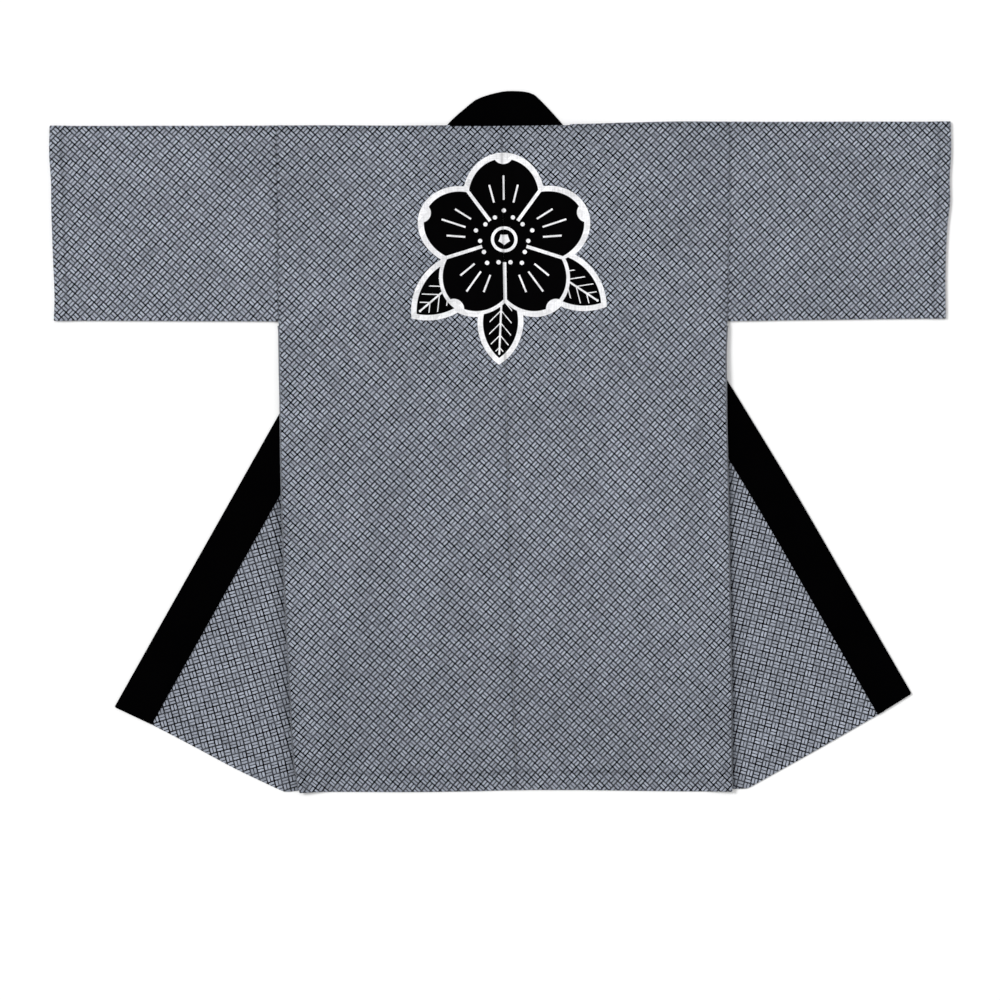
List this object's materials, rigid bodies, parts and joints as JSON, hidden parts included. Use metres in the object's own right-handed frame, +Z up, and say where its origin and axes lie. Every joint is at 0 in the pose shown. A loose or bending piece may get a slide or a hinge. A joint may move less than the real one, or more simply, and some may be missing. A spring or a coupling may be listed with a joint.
{
  "type": "hanten",
  "caption": "Short straight-cut festival coat in bar-checked cotton with a black collar band, laid flat with its back up and its fronts folded outward.",
  "frame": {"origin": "centre of the coat's bounding box, on the surface that it lies on", "axes": "+X across the shoulders towards the right sleeve as seen from above, +Y from the hem to the neck, +Z up from the surface"},
  "size_m": [1.171, 0.914, 0.0065],
  "materials": {
    "printed_cotton": "plain-woven cotton printed with pale paired bars on black, matte",
    "black_cotton": "black cotton band, matte"
  },
  "bodies": {
    "root": {"body_left": "printed_cotton", "sleeve_left": "printed_cotton", "body_right": "printed_cotton", "sleeve_right": "printed_cotton", "collar": "black_cotton"}
  },
  "joints": []
}
